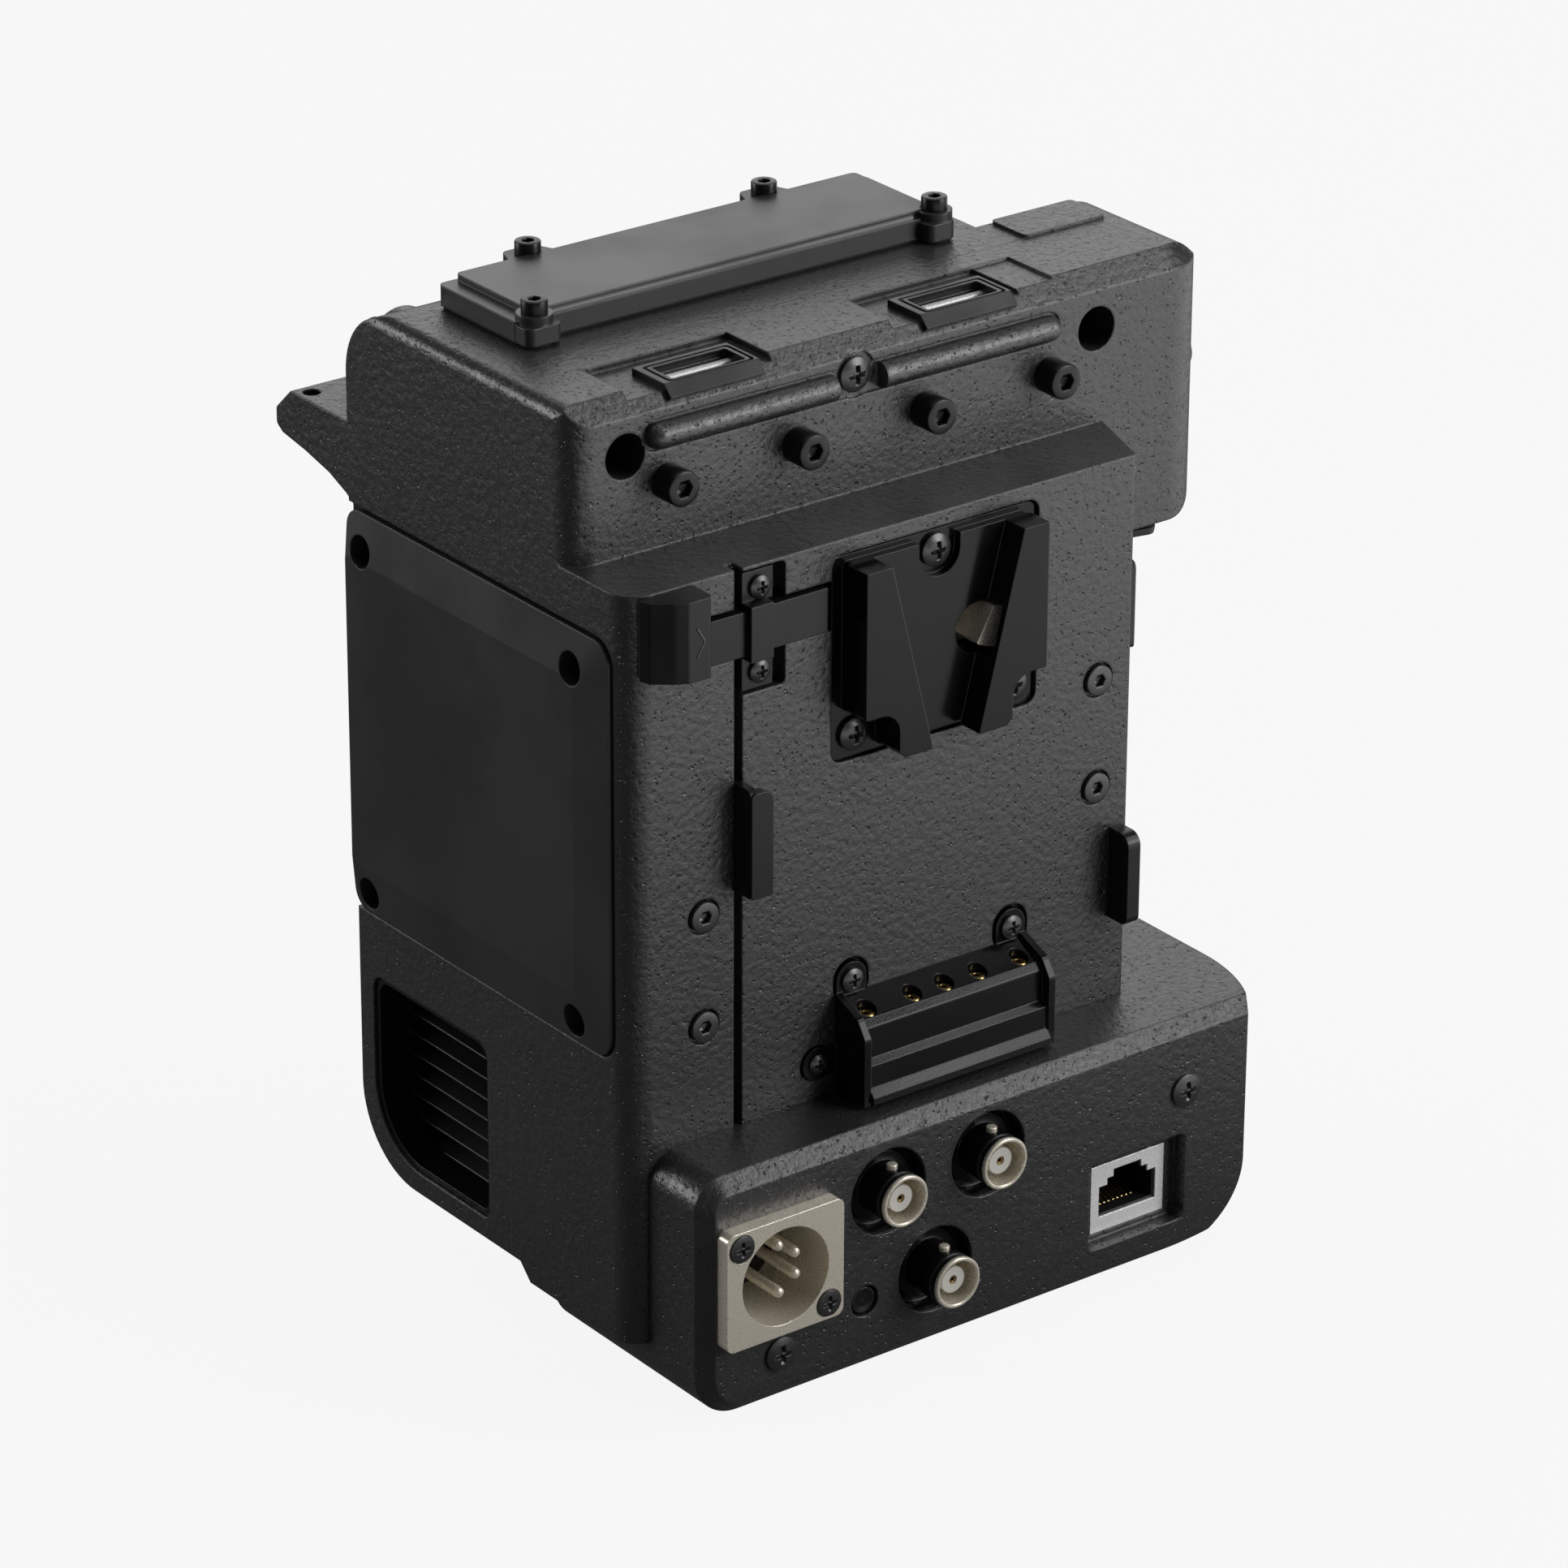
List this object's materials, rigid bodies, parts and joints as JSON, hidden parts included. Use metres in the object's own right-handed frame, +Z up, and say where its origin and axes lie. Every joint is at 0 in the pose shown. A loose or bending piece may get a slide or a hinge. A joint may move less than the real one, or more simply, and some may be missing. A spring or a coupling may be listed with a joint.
{
  "type": "professional video camera",
  "caption": "Rear extension unit of a professional video camera with a V-shaped battery receiver, terminal block, connector base and side vent.",
  "frame": {"origin": "middle of the bounding box on the underside of the base", "axes": "+Z up, +Y to the front (towards the camera body), +X to the right seen from the rear"},
  "size_m": [0.1414, 0.1348, 0.1851],
  "materials": {
    "crackle_paint": "matte textured",
    "cover_paint": "satin",
    "satin_black": "satin",
    "gloss_black": "semi-gloss",
    "rubber": "matte",
    "black_steel": "blackened",
    "nickel": "satin warm nickel",
    "bright_steel": "bright",
    "gold": "polished",
    "white_insulator": "matte",
    "dark_insulator": "matte",
    "board": "satin",
    "aluminium": "satin"
  },
  "bodies": {
    "unit": {"base_bulkhead": "aluminium", "base_housing": "crackle_paint", "base_screws": "black_steel", "board_standoffs": "aluminium", "cable_hook": "satin_black", "coax_contacts": "gold", "coax_insulators": "white_insulator", "coax_nuts": "nickel", "coax_shells": "nickel", "connector_board": "board", "connector_bracket": "bright_steel", "fan_frame": "satin_black", "front_arm": "crackle_paint", "front_frame": "crackle_paint", "front_plate": "cover_paint", "guide_lugs": "satin_black", "heat_sink": "aluminium", "inlet_insert": "dark_insulator", "inlet_pins": "nickel", "inlet_screws": "black_steel", "inlet_shell": "nickel", "inner_cross_screws": "black_steel", "inner_socket_screws": "black_steel", "inset_bars": "bright_steel", "inset_frames": "satin_black", "interface_connector": "gloss_black", "interface_contacts": "gold", "lock_receiver": "gloss_black", "lock_receiver_screws": "black_steel", "main_board": "board", "mounting_bolts": "black_steel", "network_contacts": "gold", "network_insert": "dark_insulator", "network_shield": "bright_steel", "rear_housing": "crackle_paint", "recessed_screws": "black_steel", "reset_switch": "dark_insulator", "shell_screws": "black_steel", "side_cover": "cover_paint", "side_cover_gasket": "rubber", "side_cover_screws": "black_steel", "side_strip": "cover_paint", "slider_keeper": "satin_black", "slider_keeper_screws": "black_steel", "slot_bay": "bright_steel", "slot_connector": "gloss_black", "slot_cover": "cover_paint", "slot_cover_gasket": "rubber", "slot_cover_screws": "black_steel", "standoffs": "black_steel", "terminal_block": "gloss_black", "terminal_contacts": "gold", "terminal_screws": "black_steel", "vent_grille": "satin_black"},
    "slider": {"release_slider": "satin_black", "slider_spring": "bright_steel"},
    "latch": {"lock_latch": "nickel", "latch_spring": "bright_steel"},
    "reset": {"reset_button": "satin_black"},
    "fan": {"fan_rotor": "satin_black"}
  },
  "joints": [
    {"name": "release_slide", "type": "slide", "parent": "unit", "child": "slider", "axis": [1, 0, 0], "range_m": [0, 0.004], "stiffness_N_per_m": 400, "springref_m": -0.003, "deforming": ["slider_spring"]},
    {"name": "latch_slide", "type": "slide", "parent": "unit", "child": "latch", "axis": [1, 0, 0], "range_m": [0, 0.004], "stiffness_N_per_m": 300, "springref_m": -0.003, "deforming": ["latch_spring"]},
    {"name": "reset_press", "type": "slide", "parent": "unit", "child": "reset", "axis": [0, 1, 0], "range_m": [0, 0.0008], "stiffness_N_per_m": 500, "springref_m": -0.001},
    {"name": "fan_spin", "type": "hinge", "parent": "unit", "child": "fan", "pos_m": [-0.05585, 0.01445, 0.03625], "axis": [1, 0, 0], "continuous": true}
  ],
  "couplings": [
    {"joint": "latch_slide", "follows": "release_slide", "ratio": 1}
  ]
}
